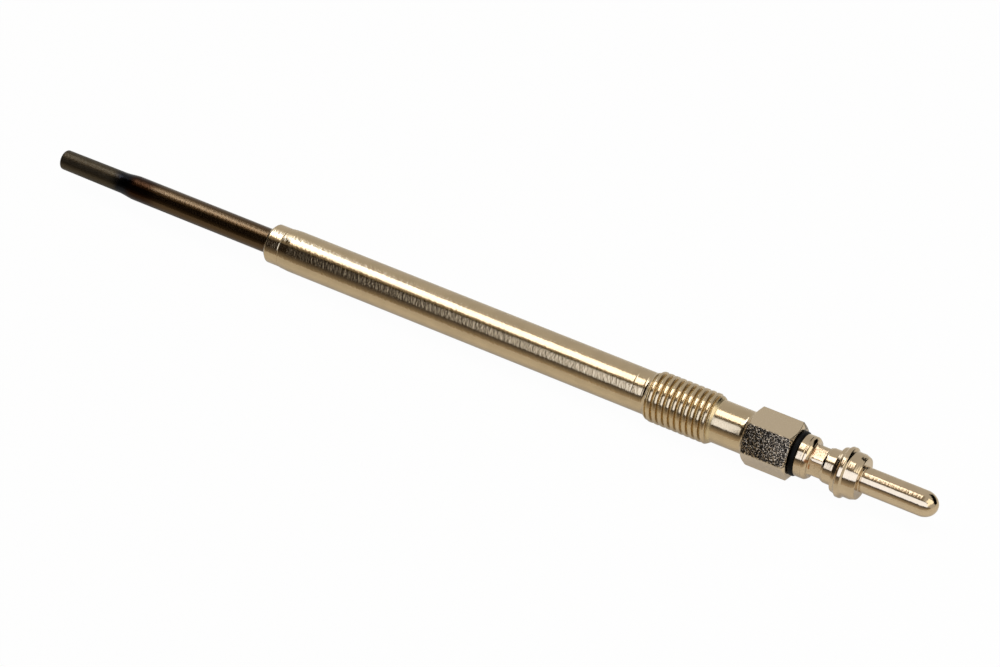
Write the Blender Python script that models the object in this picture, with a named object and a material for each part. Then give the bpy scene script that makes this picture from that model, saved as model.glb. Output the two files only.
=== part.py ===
"""Diesel glow plug with a metal sheath, an M8 x 1 thread, an 8 mm hexagon and a plain push-on pin.

Metres, +Z up. The plug lies along X on one flat of its hexagon. The hot tip points to -X and the terminal to +X,
the floor is Z = 0, and X = 0 is the middle of its length. A station is a distance along the axis from the hot tip.
"""

import math

import bmesh
import bpy

MM = 0.001

# Fits between neighbouring pieces
FIT = 0.05 * MM
SEAT = 0.02 * MM

# Glow tube: a closed metal sheath, swaged down at its hot end
TUBE_DIAMETER = 4.0 * MM
TUBE_WALL = 0.45 * MM
TIP_DIAMETER = 3.26 * MM
SWAGE_DIAMETER = 3.38 * MM
TIP_LENGTH = 11.2 * MM
SWAGE_LENGTH = 3.2 * MM
TIP_EDGE = 0.3 * MM
TIP_WALL = 0.9 * MM
TUBE_SHOWN = 39.76 * MM
TUBE_SEATED = 22.0 * MM

# Housing: nose, body, thread, shank and hexagon, turned from one bar
NOSE_DIAMETER = 6.26 * MM
NOSE_LENGTH = 2.74 * MM
NOSE_CHAMFER = 0.5 * MM
NOSE_CHAMFER_LENGTH = 0.47 * MM
NOSE_STEP_LENGTH = 0.6 * MM
BODY_DIAMETER = 6.6 * MM
BODY_LENGTH = 63.67 * MM
BODY_GROOVE_DEPTH = 0.04 * MM
BODY_GROOVE_WIDTH = 0.25 * MM
BODY_GROOVE_PITCH = 0.65 * MM
BODY_GROOVE_OFFSET = 0.6 * MM
THREAD_NOMINAL_DIAMETER = 8.0 * MM
THREAD_CREST_DIAMETER = 7.84 * MM
THREAD_PITCH = 1.0 * MM
THREAD_LENGTH = 11.9 * MM
THREAD_LEAD_IN = 1.7 * MM
THREAD_RUN_OUT = 1.4 * MM
THREAD_DEPTH_SHARE = 0.6134
THREAD_ROOT_FLAT_SHARE = 0.25
THREAD_START_SHARE = 0.4
THREAD_ANGLE = math.radians(60)
SHANK_DIAMETER = 6.64 * MM
SHANK_LENGTH = 5.08 * MM
FILLET_LENGTH = 1.0 * MM
FILLET_HEIGHT = 0.42 * MM
HEX_ACROSS_FLATS = 8.0 * MM
HEX_LENGTH = 7.3 * MM
HEX_FACE_DIAMETER = 7.8 * MM
HEX_CHAMFER_ANGLE = math.radians(30)
HEX_BLANK_ALLOWANCE = 1.03
HEX_CUTTER_MARGIN = 1.0 * MM

# Bores of the housing
BORE_DIAMETER = 4.6 * MM
COUNTERBORE_DIAMETER = 5.5 * MM
COUNTERBORE_DEPTH = 5.6 * MM

# Insulating washer with its spigot, and the seal ring ahead of it
WASHER_DIAMETER = 6.92 * MM
WASHER_THICKNESS = 0.86 * MM
WASHER_EDGE = 0.25 * MM
SPIGOT_LENGTH = 1.6 * MM
SEAL_RING_LENGTH = 3.4 * MM
SEAL_RING_EDGE = 0.2 * MM

# Terminal: flange, crimped neck, beaded barrel and pin, turned in one
FLANGE_DIAMETER = 6.54 * MM
FLANGE_LENGTH = 1.35 * MM
FLANGE_EDGE = 0.08 * MM
SHOULDER_LENGTH = 1.15 * MM
NECK_DIAMETER = 5.1 * MM
CRIMP_ACROSS_FLATS = 4.66 * MM
CRIMP_LENGTH = 1.5 * MM
CRIMP_EDGE = 0.15 * MM
CRIMP_TURN = math.radians(12)
CONE_LENGTH = 1.85 * MM
CONE_DIAMETER = 5.44 * MM
BARREL_FRONT_LENGTH = 0.1 * MM
BARREL_FRONT_DIAMETER = 6.84 * MM
BARREL_COLLAR_LENGTH = 0.62 * MM
BARREL_DIAMETER = 7.16 * MM
BEAD_DIAMETER = 7.8 * MM
BEAD_LENGTH = 1.2 * MM
BARREL_LENGTH = 2.05 * MM
BARREL_REAR_DIAMETER = 7.0 * MM
BARREL_TAPER_LENGTH = 0.85 * MM
BARREL_TAPER = 0.3 * MM
BARREL_EDGE = 0.12 * MM
PIN_DIAMETER = 4.0 * MM
PIN_LENGTH = 11.82 * MM
PIN_DOME_LENGTH = 2.3 * MM
TERMINAL_BORE_DEPTH = 8.6 * MM

# Connecting rod
ROD_DIAMETER = 3.0 * MM
ROD_NECK_DIAMETER = 1.8 * MM
ROD_NECK_LENGTH = 22.0 * MM
ROD_SHOULDER_OFFSET = 1.2 * MM
ROD_SPIGOT_DIAMETER = 0.6 * MM
ROD_SPIGOT_LENGTH = 2.0 * MM
ROD_EDGE = 0.2 * MM

# Seal at the mouth of the glow tube
TUBE_SEAL_LENGTH = 4.0 * MM
TUBE_SEAL_RECESS = 0.5 * MM
TUBE_SEAL_EDGE = 0.1 * MM

# Coils: the heating coil starts at the closed tip and the regulating coil follows it up to the rod
WIRE_DIAMETER = 0.3 * MM
HEATING_COIL_DIAMETER = 1.6 * MM
HEATING_COIL_LENGTH = 11.0 * MM
HEATING_COIL_TURNS = 11
REGULATING_COIL_DIAMETER = 1.6 * MM
REGULATING_COIL_TURNS = 13

# Facets round each piece: a multiple of six, so that the hexagon's corners fall on them
SIDES = 30
INNER_SIDES = 24
COIL_STEPS = 10
ARC_STEPS = 3
SHARP_ANGLE = math.radians(25)

# Stations along the axis, from the hot tip
NOSE_FRONT = TUBE_SHOWN
THREAD_FRONT = NOSE_FRONT + NOSE_LENGTH + NOSE_STEP_LENGTH + BODY_LENGTH
THREAD_REAR = THREAD_FRONT + THREAD_LENGTH
HEX_FRONT = THREAD_REAR + SHANK_LENGTH
HEX_REAR = HEX_FRONT + HEX_LENGTH
TUBE_REAR = TUBE_SHOWN + TUBE_SEATED
TERMINAL_FRONT = HEX_REAR + WASHER_THICKNESS + 2 * SEAT
NECK_FRONT = FLANGE_LENGTH + SHOULDER_LENGTH
CRIMP_REAR = NECK_FRONT + CRIMP_LENGTH
BARREL_FRONT = CRIMP_REAR + CONE_LENGTH
BEAD_FRONT = BARREL_FRONT + BARREL_FRONT_LENGTH + BARREL_COLLAR_LENGTH
BARREL_REAR = BEAD_FRONT + BEAD_LENGTH + BARREL_LENGTH
TERMINAL_LENGTH = BARREL_REAR + PIN_LENGTH
OVERALL_LENGTH = TERMINAL_FRONT + TERMINAL_LENGTH
AXIS_HEIGHT = HEX_ACROSS_FLATS / 2

# Radii that neighbours share
TUBE_BORE = TUBE_DIAMETER / 2 - TUBE_WALL
TIP_BORE = TIP_DIAMETER / 2 - TUBE_WALL
ROD_RADIUS = ROD_DIAMETER / 2
ROD_NECK_RADIUS = ROD_NECK_DIAMETER / 2
WIDEST_COIL = max(HEATING_COIL_DIAMETER, REGULATING_COIL_DIAMETER) / 2
CHANNEL_RADIUS = max(WIDEST_COIL, ROD_NECK_RADIUS) + FIT
ROD_NECK_FRONT = TUBE_REAR - ROD_NECK_LENGTH


def clear_scene():
    for obj in list(bpy.data.objects):
        bpy.data.objects.remove(obj, do_unlink=True)


def material(name, colour, metallic, roughness):
    """A Principled BSDF material of one colour."""
    made = bpy.data.materials.new(name)
    made.use_nodes = True
    shader = made.node_tree.nodes["Principled BSDF"]
    shader.inputs["Base Color"].default_value = (*colour, 1.0)
    shader.inputs["Metallic"].default_value = metallic
    shader.inputs["Roughness"].default_value = roughness
    made.diffuse_color = (*colour, 1.0)
    return made


def place(obj, station, parent, finish):
    """Puts an object whose own zero is its front end on the plug's axis at a station."""
    bpy.context.scene.collection.objects.link(obj)
    obj.data.materials.append(finish)
    obj.parent = parent
    obj.location = (station - OVERALL_LENGTH / 2, 0.0, AXIS_HEIGHT)
    return obj


def smooth(mesh):
    mesh.shade_smooth()
    mesh.set_sharp_from_angle(angle=SHARP_ANGLE)


def arc(centre, radius_x, radius_r, start, end, steps=ARC_STEPS):
    """Points (x, r) along an elliptical arc, from the start angle to the end angle in degrees."""
    angles = [math.radians(start + (end - start) * i / steps) for i in range(steps + 1)]
    return [(centre[0] + radius_x * math.cos(a), centre[1] + radius_r * math.sin(a)) for a in angles]


def spun(bm, profile, closed, sides):
    """Spins a profile of (x, r) points round the X axis. A closed profile makes a ring."""
    verts = [bm.verts.new((x, r, 0.0)) for x, r in profile]
    edges = [bm.edges.new(pair) for pair in zip(verts, verts[1:])]
    if closed:
        edges.append(bm.edges.new((verts[-1], verts[0])))
    bmesh.ops.spin(
        bm, geom=verts + edges, cent=(0, 0, 0), axis=(1, 0, 0),
        angle=2 * math.pi, steps=sides, use_merge=True,
    )


def finished(bm, name):
    """Welds the seams and poles, turns the faces outward and makes the object."""
    bmesh.ops.remove_doubles(bm, verts=bm.verts, dist=1e-7)
    bmesh.ops.recalc_face_normals(bm, faces=bm.faces)
    mesh = bpy.data.meshes.new(name)
    bm.to_mesh(mesh)
    bm.free()
    smooth(mesh)
    return bpy.data.objects.new(name, mesh)


def turned(name, profile, closed=False, sides=SIDES):
    """A turned piece: a profile that starts and ends on the axis, or a closed one clear of it."""
    bm = bmesh.new()
    spun(bm, profile, closed, sides)
    return finished(bm, name)


def coil(name, length, diameter, turns):
    """A round wire along a helix, its ends capped."""
    radius = (diameter - WIRE_DIAMETER) / 2
    count = turns * COIL_STEPS
    curve = bpy.data.curves.new(name, "CURVE")
    curve.dimensions = "3D"
    curve.bevel_depth = WIRE_DIAMETER / 2
    curve.bevel_resolution = 1
    curve.use_fill_caps = True
    spline = curve.splines.new("POLY")
    spline.points.add(count)
    run = length - WIRE_DIAMETER
    for i, point in enumerate(spline.points):
        angle = 2 * math.pi * i / COIL_STEPS
        x = WIRE_DIAMETER / 2 + run * i / count
        point.co = (x, radius * math.cos(angle), radius * math.sin(angle), 1.0)
    return bpy.data.objects.new(name, curve)


def glow_tube_profile():
    """Up the flat tip, back along the outside, and forward along the bore to the closed end."""
    tip = TIP_DIAMETER / 2
    tube = TUBE_DIAMETER / 2
    swage_rear = TIP_LENGTH + SWAGE_LENGTH
    return [
        (0.0, 0.0),
        *arc((TIP_EDGE, tip - TIP_EDGE), TIP_EDGE, TIP_EDGE, 180, 90),
        (TIP_LENGTH, SWAGE_DIAMETER / 2),
        (TIP_LENGTH + 0.5 * SWAGE_LENGTH, (SWAGE_DIAMETER / 2 + tube) / 2),
        (swage_rear, tube),
        (TUBE_REAR, tube),
        (TUBE_REAR, TUBE_BORE),
        (swage_rear, TUBE_BORE),
        (TIP_LENGTH, TIP_BORE),
        (TIP_WALL, TIP_BORE),
        (TIP_WALL, 0.0),
    ]


def filling_powder_profile():
    """The packed powder between the tube's bore and the channel that holds the coils and the rod's neck."""
    front = SEAT
    rear = TUBE_REAR - TUBE_SEAL_RECESS - TUBE_SEAL_LENGTH - SEAT - TIP_WALL
    swage_front = TIP_LENGTH - TIP_WALL
    swage_rear = swage_front + SWAGE_LENGTH
    return [
        (front, TIP_BORE - FIT),
        (swage_front, TIP_BORE - FIT),
        (swage_rear, TUBE_BORE - FIT),
        (rear, TUBE_BORE - FIT),
        (rear, CHANNEL_RADIUS),
        (front, CHANNEL_RADIUS),
    ]


def sleeve_profile(length, inner, outer, edge):
    """A plain ring whose outer edges are broken by a small chamfer."""
    return [
        (0.0, inner),
        (0.0, outer - edge),
        (edge, outer),
        (length - edge, outer),
        (length, outer - edge),
        (length, inner),
    ]


def rod_profile():
    """A spigot that the regulating coil is wound on, a neck that runs in the tube, and the main length."""
    neck_rear = ROD_SPIGOT_LENGTH + ROD_NECK_LENGTH + ROD_SHOULDER_OFFSET
    rear = TERMINAL_FRONT + TERMINAL_BORE_DEPTH - SEAT - (ROD_NECK_FRONT - ROD_SPIGOT_LENGTH)
    return [
        (0.0, 0.0),
        (0.0, ROD_SPIGOT_DIAMETER / 2),
        (ROD_SPIGOT_LENGTH, ROD_SPIGOT_DIAMETER / 2),
        (ROD_SPIGOT_LENGTH, ROD_NECK_RADIUS),
        (neck_rear, ROD_NECK_RADIUS),
        (neck_rear + ROD_RADIUS - ROD_NECK_RADIUS, ROD_RADIUS),
        (rear - ROD_EDGE, ROD_RADIUS),
        (rear, ROD_RADIUS - ROD_EDGE),
        (rear, 0.0),
    ]


def washer_profile():
    """A flange with rounded rims, behind a spigot that centres it in the counterbore."""
    outer = WASHER_DIAMETER / 2
    inner = ROD_RADIUS + FIT
    spigot = COUNTERBORE_DIAMETER / 2 - FIT
    rear = SPIGOT_LENGTH + WASHER_THICKNESS
    rims = arc((SPIGOT_LENGTH + WASHER_EDGE, outer - WASHER_EDGE), WASHER_EDGE, WASHER_EDGE, 180, 90)
    rims += arc((rear - WASHER_EDGE, outer - WASHER_EDGE), WASHER_EDGE, WASHER_EDGE, 90, 0)
    return [(0.0, inner), (0.0, spigot), (SPIGOT_LENGTH, spigot), *rims, (rear, inner)]


def shoulder_points(steps=5):
    """A rounded shoulder: half a cosine wave from the flange down to the neck."""
    high = FLANGE_DIAMETER / 2 - FLANGE_EDGE / 2
    low = NECK_DIAMETER / 2
    return [
        (FLANGE_LENGTH + SHOULDER_LENGTH * i / steps, low + (high - low) * (1 + math.cos(math.pi * i / steps)) / 2)
        for i in range(steps + 1)
    ]


def bead_points():
    """The raised bead on the barrel: half an ellipse standing on the barrel's surface."""
    base = BARREL_DIAMETER / 2
    centre = (BEAD_FRONT + BEAD_LENGTH / 2, base)
    return arc(centre, BEAD_LENGTH / 2, BEAD_DIAMETER / 2 - base, 180, 0, 2 * ARC_STEPS)


def terminal_profile():
    """The terminal's turned outline, back to the dome of its pin, and its blind bore for the rod."""
    flange = FLANGE_DIAMETER / 2
    bore = ROD_RADIUS + FIT
    rear_radius = BARREL_REAR_DIAMETER / 2
    pin = PIN_DIAMETER / 2
    dome_front = TERMINAL_LENGTH - PIN_DOME_LENGTH
    return [
        (TERMINAL_BORE_DEPTH, 0.0),
        (TERMINAL_BORE_DEPTH, bore),
        (0.0, bore),
        (0.0, flange - FLANGE_EDGE),
        (FLANGE_EDGE, flange),
        *shoulder_points(),
        (NECK_FRONT + CRIMP_EDGE, NECK_DIAMETER / 2),
        (CRIMP_REAR - CRIMP_EDGE, NECK_DIAMETER / 2),
        (CRIMP_REAR, NECK_DIAMETER / 2),
        (BARREL_FRONT, CONE_DIAMETER / 2),
        (BARREL_FRONT + BARREL_FRONT_LENGTH, BARREL_FRONT_DIAMETER / 2),
        *bead_points(),
        (BARREL_REAR - BARREL_TAPER_LENGTH, rear_radius),
        (BARREL_REAR - BARREL_EDGE, rear_radius - BARREL_TAPER + BARREL_EDGE),
        (BARREL_REAR, rear_radius - BARREL_TAPER),
        (BARREL_REAR, pin),
        *arc((dome_front, 0.0), PIN_DOME_LENGTH, pin, 90, 0, 2 * ARC_STEPS),
    ]


def press_crimp(bm):
    """Presses six flats into the terminal's neck: each point there moves in to the nearest flat."""
    flat = CRIMP_ACROSS_FLATS / 2
    bore = ROD_RADIUS + FIT
    margin = CRIMP_EDGE / 2
    sixth = math.pi / 3
    for vert in bm.verts:
        x, y, z = vert.co
        radius = math.hypot(y, z)
        if not NECK_FRONT + margin < x < CRIMP_REAR - margin or radius < (bore + flat) / 2:
            continue
        off_corner = (math.atan2(z, y) - CRIMP_TURN) % sixth
        shrink = min(1.0, flat / math.cos(off_corner - sixth / 2) / radius)
        vert.co = (x, y * shrink, z * shrink)


def terminal(name):
    bm = bmesh.new()
    spun(bm, terminal_profile(), False, SIDES)
    bmesh.ops.remove_doubles(bm, verts=bm.verts, dist=1e-7)
    press_crimp(bm)
    return finished(bm, name)


def body_groove(rear):
    """One fine turned groove in the body, from its rear edge forward."""
    radius = BODY_DIAMETER / 2
    return [
        (rear, radius),
        (rear - BODY_GROOVE_WIDTH / 2, radius - BODY_GROOVE_DEPTH),
        (rear - BODY_GROOVE_WIDTH, radius),
    ]


def housing_profile():
    """From the front of the thread forward over the nose, back through the bores, and over the blank
    of the hexagon to the rear of the thread. The thread itself closes the gap between the two ends."""
    body = BODY_DIAMETER / 2
    nose = NOSE_DIAMETER / 2
    seat = TUBE_DIAMETER / 2 + FIT
    bore = BORE_DIAMETER / 2
    counterbore = COUNTERBORE_DIAMETER / 2
    shank = SHANK_DIAMETER / 2
    blank = HEX_BLANK_ALLOWANCE * HEX_ACROSS_FLATS / 2 / math.cos(math.pi / 6)
    chamfer = (blank - HEX_FACE_DIAMETER / 2) * math.tan(HEX_CHAMFER_ANGLE)
    thread_front = THREAD_FRONT - NOSE_FRONT
    hex_front = HEX_FRONT - NOSE_FRONT
    hex_rear = HEX_REAR - NOSE_FRONT
    step_front = NOSE_LENGTH
    seat_rear = TUBE_SEATED + SEAT
    counterbore_front = hex_rear - COUNTERBORE_DEPTH
    last_groove = thread_front - BODY_GROOVE_OFFSET
    return [
        (thread_front, body),
        *body_groove(last_groove),
        *body_groove(last_groove - BODY_GROOVE_PITCH),
        (step_front + NOSE_STEP_LENGTH, body),
        (step_front, nose),
        (NOSE_CHAMFER_LENGTH, nose),
        (0.0, nose - NOSE_CHAMFER),
        (0.0, seat),
        (seat_rear, seat),
        (seat_rear + bore - seat, bore),
        (counterbore_front, bore),
        (counterbore_front, counterbore),
        (hex_rear, counterbore),
        (hex_rear, HEX_FACE_DIAMETER / 2),
        (hex_rear - chamfer, blank),
        (hex_front + chamfer, blank),
        (hex_front, HEX_FACE_DIAMETER / 2),
        *arc((hex_front - FILLET_LENGTH, shank + FILLET_HEIGHT), FILLET_LENGTH, FILLET_HEIGHT, 0, -90),
        (THREAD_REAR - NOSE_FRONT, shank),
    ]


def thread_limit(x):
    """The largest radius at a distance along the thread: a lead-in cone, the full thread and a run-out cone."""
    crest = THREAD_CREST_DIAMETER / 2
    rise = (crest - BODY_DIAMETER / 2) / THREAD_LEAD_IN
    fall = (crest - SHANK_DIAMETER / 2) / THREAD_RUN_OUT
    return min(BODY_DIAMETER / 2 + x * rise, SHANK_DIAMETER / 2 + (THREAD_LENGTH - x) * fall)


def add_thread(bm):
    """A right-hand 60 degree thread. Each row follows one edge of the thread form round the helix, and the
    rows are held between the thread's two ends, where they fall together on the plain rings."""
    crest = THREAD_CREST_DIAMETER / 2
    root = THREAD_NOMINAL_DIAMETER / 2 - THREAD_DEPTH_SHARE * THREAD_PITCH
    flank = (crest - root) * math.tan(THREAD_ANGLE / 2) / THREAD_PITCH
    first_flank = THREAD_ROOT_FLAT_SHARE
    form = [(0.0, root), (first_flank, root), (first_flank + flank, crest), (1 - flank, crest)]
    turns = math.ceil(THREAD_LENGTH / THREAD_PITCH) + 2
    start = THREAD_FRONT - NOSE_FRONT
    columns = []
    for side in range(SIDES):
        angle = 2 * math.pi * side / SIDES
        column = []
        for turn in range(-2, turns):
            for share, radius in form:
                x = (turn + share + THREAD_START_SHARE + side / SIDES) * THREAD_PITCH
                if 0.0 < x < THREAD_LENGTH:
                    r = min(radius, thread_limit(x))
                else:
                    x = min(max(x, 0.0), THREAD_LENGTH)
                    r = thread_limit(x)
                column.append(bm.verts.new((start + x, r * math.cos(angle), r * math.sin(angle))))
        columns.append(column)
    for side, column in enumerate(columns):
        following = columns[(side + 1) % SIDES]
        shift = len(form) if side == SIDES - 1 else 0
        for row in range(len(column) - 1 - shift):
            after = row + shift
            bm.faces.new((column[row], column[row + 1], following[after + 1], following[after]))


def hexagon_cutter(parent, finish):
    """A thick ring with a hexagonal hole, which leaves the flats when it is cut from the turned blank."""
    bm = bmesh.new()
    across = HEX_ACROSS_FLATS / 2 / math.cos(math.pi / 6)
    outer = 2 * across
    margin = HEX_CUTTER_MARGIN
    rings = []
    for x, radius in ((-margin, across), (HEX_LENGTH + margin, across), (HEX_LENGTH + margin, outer), (-margin, outer)):
        angles = [math.pi / 3 * corner for corner in range(6)]
        rings.append([bm.verts.new((x, radius * math.cos(a), radius * math.sin(a))) for a in angles])
    for ring, following in zip(rings, rings[1:] + rings[:1]):
        for corner in range(6):
            after = (corner + 1) % 6
            bm.faces.new((ring[corner], ring[after], following[after], following[corner]))
    cutter = place(finished(bm, "hexagon_cutter"), HEX_FRONT, parent, finish)
    cutter.hide_render = True
    cutter.display_type = "WIRE"
    return cutter


def housing(name):
    bm = bmesh.new()
    spun(bm, housing_profile(), False, SIDES)
    add_thread(bm)
    return finished(bm, name)


def main():
    clear_scene()
    plated = material("nickel_plated_steel", (0.62, 0.55, 0.42), 1.0, 0.28)
    oxidised = material("heat_oxidised_sheath", (0.12, 0.085, 0.055), 0.9, 0.4)
    black = material("black_insulator", (0.012, 0.012, 0.013), 0.0, 0.35)
    rubber = material("seal_rubber", (0.05, 0.03, 0.025), 0.0, 0.6)
    ceramic = material("magnesia_powder", (0.78, 0.76, 0.70), 0.0, 0.9)
    steel = material("bare_steel", (0.5, 0.49, 0.47), 1.0, 0.35)
    alloy = material("resistance_wire", (0.35, 0.33, 0.31), 1.0, 0.45)

    plug = bpy.data.objects.new("glow_plug", None)
    bpy.context.scene.collection.objects.link(plug)

    shell = place(housing("housing"), NOSE_FRONT, plug, plated)
    flats = shell.modifiers.new("hexagon flats", "BOOLEAN")
    flats.operation = "DIFFERENCE"
    flats.object = hexagon_cutter(plug, plated)

    place(turned("glow_tube", glow_tube_profile(), sides=SIDES), 0.0, plug, oxidised)
    place(turned("filling_powder", filling_powder_profile(), True, INNER_SIDES), TIP_WALL, plug, ceramic)

    coils_front = TIP_WALL + FIT
    heating_coil = coil("heating_coil", HEATING_COIL_LENGTH, HEATING_COIL_DIAMETER, HEATING_COIL_TURNS)
    place(heating_coil, coils_front, plug, alloy)
    second_front = coils_front + HEATING_COIL_LENGTH + FIT
    second_length = ROD_NECK_FRONT - FIT - second_front
    regulating_coil = coil("regulating_coil", second_length, REGULATING_COIL_DIAMETER, REGULATING_COIL_TURNS)
    place(regulating_coil, second_front, plug, alloy)

    tube_seal = sleeve_profile(TUBE_SEAL_LENGTH, ROD_NECK_RADIUS + FIT, TUBE_BORE - FIT, TUBE_SEAL_EDGE)
    seal_front = TUBE_REAR - TUBE_SEAL_RECESS - TUBE_SEAL_LENGTH
    place(turned("tube_seal", tube_seal, True, INNER_SIDES), seal_front, plug, rubber)

    rod_front = ROD_NECK_FRONT - ROD_SPIGOT_LENGTH
    place(turned("connecting_rod", rod_profile(), sides=INNER_SIDES), rod_front, plug, steel)

    washer_front = HEX_REAR + SEAT - SPIGOT_LENGTH
    ring = sleeve_profile(SEAL_RING_LENGTH, ROD_RADIUS + FIT, COUNTERBORE_DIAMETER / 2 - FIT, SEAL_RING_EDGE)
    ring_front = washer_front - SEAT - SEAL_RING_LENGTH
    place(turned("seal_ring", ring, True, INNER_SIDES), ring_front, plug, rubber)
    place(turned("insulating_washer", washer_profile(), True), washer_front, plug, black)

    place(terminal("terminal"), TERMINAL_FRONT, plug, plated)


main()
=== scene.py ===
"""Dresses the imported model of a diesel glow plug.

Metres, +Z up. The plug lies along X on one flat of its hexagon, with its hot tip towards -X. A station is a
distance along the axis from the front end of a piece. An angle goes round the axis from +Y towards +Z.
"""

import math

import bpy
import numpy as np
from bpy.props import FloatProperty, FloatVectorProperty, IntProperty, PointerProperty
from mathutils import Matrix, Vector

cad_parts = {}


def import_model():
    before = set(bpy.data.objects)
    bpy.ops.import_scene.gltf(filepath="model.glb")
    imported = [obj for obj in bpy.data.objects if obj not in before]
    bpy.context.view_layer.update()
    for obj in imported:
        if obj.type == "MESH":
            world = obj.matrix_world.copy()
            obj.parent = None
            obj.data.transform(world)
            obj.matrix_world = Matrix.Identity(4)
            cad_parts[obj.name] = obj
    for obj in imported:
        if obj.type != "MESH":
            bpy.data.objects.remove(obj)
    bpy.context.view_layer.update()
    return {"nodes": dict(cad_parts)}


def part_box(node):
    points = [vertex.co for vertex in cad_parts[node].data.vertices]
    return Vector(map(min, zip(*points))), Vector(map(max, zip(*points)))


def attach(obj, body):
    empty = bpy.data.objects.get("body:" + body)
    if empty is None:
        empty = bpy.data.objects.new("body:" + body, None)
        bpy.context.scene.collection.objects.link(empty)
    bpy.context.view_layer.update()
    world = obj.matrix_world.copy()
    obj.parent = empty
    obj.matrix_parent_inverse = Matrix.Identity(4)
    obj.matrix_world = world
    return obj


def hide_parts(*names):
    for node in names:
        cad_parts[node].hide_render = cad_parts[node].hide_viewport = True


bl_info = {
    "name": "Glow plug dressing",
    "version": (1, 0, 0),
    "blender": (4, 5, 0),
    "location": "View3D > Sidebar > Glow plug",
    "description": "Fine surfaces, finishes and studio for a diesel glow plug",
    "category": "Object",
}

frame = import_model()

MM = 0.001
SIXTH = math.pi / 3
SMALL_EDGE = 0.05 * MM
EDGE = 0.1 * MM
ARC_STEP = math.radians(14)

HOUSING_LOW, HOUSING_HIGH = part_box("housing")
AXIS_HEIGHT = (HOUSING_LOW.z + HOUSING_HIGH.z) / 2
TUBE_FRONT, TUBE_REAR = (corner.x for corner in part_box("glow_tube"))
WASHER_FRONT, WASHER_REAR = (corner.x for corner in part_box("insulating_washer"))
TERMINAL_FRONT, TERMINAL_REAR = (corner.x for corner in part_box("terminal"))

# Height of the low card's top edge, and the side panel's angle in degrees from straight up.
HORIZON_HEIGHT = 8.15 * MM
PANEL_TURN = 58.25


def length(name, value, description):
    """A size in metres, given here in millimetres."""
    return FloatProperty(
        name=name, description=description, default=value * MM, min=0.0, unit="LENGTH", precision=5)


def angle(name, value, description):
    """An angle in radians, given here in degrees."""
    return FloatProperty(name=name, description=description, default=math.radians(value), subtype="ANGLE")


def number(name, value, description):
    return FloatProperty(name=name, description=description, default=value)


def colour(name, value, description):
    return FloatVectorProperty(
        name=name, description=description, default=value, size=3, min=0.0, max=1.0, subtype="COLOR")


class HousingSizes(bpy.types.PropertyGroup):
    nose_diameter: length("Nose", 6.26, "Diameter of the nose collar")
    nose_length: length("Nose length", 2.74, "Length of the nose collar")
    nose_chamfer: length("Nose chamfer", 0.5, "Height of the chamfer on the nose's front edge")
    nose_chamfer_length: length("Nose chamfer length", 0.47, "Length of the chamfer on the nose's front edge")
    step_length: length("Step", 1.6, "Length of the rise from nose to body")
    body_diameter: length("Body", 6.6, "Diameter of the long body")
    groove_depth: length("Groove depth", 0.02, "Depth of the two fine rings ahead of the thread")
    groove_width: length("Groove width", 0.25, "Width of each fine ring")
    groove_pitch: length("Groove pitch", 1.7, "Distance between the fine rings")
    groove_offset: length("Groove offset", 0.12, "Distance from the fine rings to the thread")
    thread_front: length("Thread station", 67.01, "Start of the thread, from the nose")
    thread_length: length("Thread length", 11.45, "Length of the thread with its lead-in and run-out")
    thread_crest: length("Thread crest", 7.84, "Diameter over the crests")
    thread_root: length("Thread root", 6.77, "Diameter of the roots")
    thread_pitch: length("Thread pitch", 1.0, "Distance between the crests")
    thread_turn: angle("Thread turn", 189, "Turn of the thread about its axis")
    lead_in: length("Lead-in", 1.25, "Length over which the thread grows at its front")
    run_out: length("Run-out", 0.85, "Length of the cone at the thread's rear")
    shank_diameter: length("Shank", 6.64, "Diameter between thread and hexagon")
    fillet_length: length("Fillet", 1.0, "Length of the fillet ahead of the hexagon")
    fillet_height: length("Fillet height", 0.42, "Height of the fillet ahead of the hexagon")
    across_flats: length("Across flats", 8.0, "Width of the hexagon across its flats")
    hex_length: length("Hexagon", 7.3, "Length of the hexagon")
    face_diameter: length("Hexagon face", 7.8, "Diameter at which the hexagon's chamfer starts")
    corner_rounding: length("Corner rounding", 0.3, "Radius of the hexagon's long edges")
    tube_seat: length("Tube seat", 4.1, "Bore that holds the glow tube")
    seat_depth: length("Seat depth", 22.02, "Depth of the bore that holds the glow tube")
    bore: length("Bore", 4.6, "Bore behind the glow tube")
    counterbore: length("Counterbore", 5.5, "Bore that holds seal and washer")
    counterbore_depth: length("Counterbore depth", 5.6, "Depth of the rear counterbore")
    sides: IntProperty(name="Sides", description="Columns of faces round the housing", default=192, min=48)


class TubeSizes(bpy.types.PropertyGroup):
    diameter: length("Tube", 3.92, "Diameter of the glow tube")
    tip_diameter: length("Tip", 3.24, "Diameter at the front of the swaged tip")
    tip_rear_diameter: length("Tip rear", 3.38, "Diameter at the rear of the swaged tip")
    tip_length: length("Tip length", 11.2, "Length of the swaged tip")
    swage_length: length("Swage", 3.2, "Length over which the tube is swaged down")
    tip_edge: length("Tip edge", 0.36, "Rounding of the closed end")
    bore: length("Bore", 3.1, "Bore of the tube")
    tip_bore: length("Tip bore", 1.46, "Bore of the swaged tip")
    tip_wall: length("End wall", 0.9, "Thickness of the closed end")
    sides: IntProperty(name="Sides", description="Columns of faces round the tube", default=128, min=48)


class WasherSizes(bpy.types.PropertyGroup):
    diameter: length("Washer", 6.92, "Diameter of the insulating washer")
    thickness: length("Thickness", 0.86, "Thickness of the washer's flange")
    rim: length("Rim", 0.34, "Rounding of the washer's rims")
    spigot_diameter: length("Spigot", 5.4, "Diameter of the spigot in the housing")
    bore: length("Bore", 3.1, "Bore round the connecting rod")
    sides: IntProperty(name="Sides", description="Columns of faces round the washer", default=128, min=48)


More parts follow.
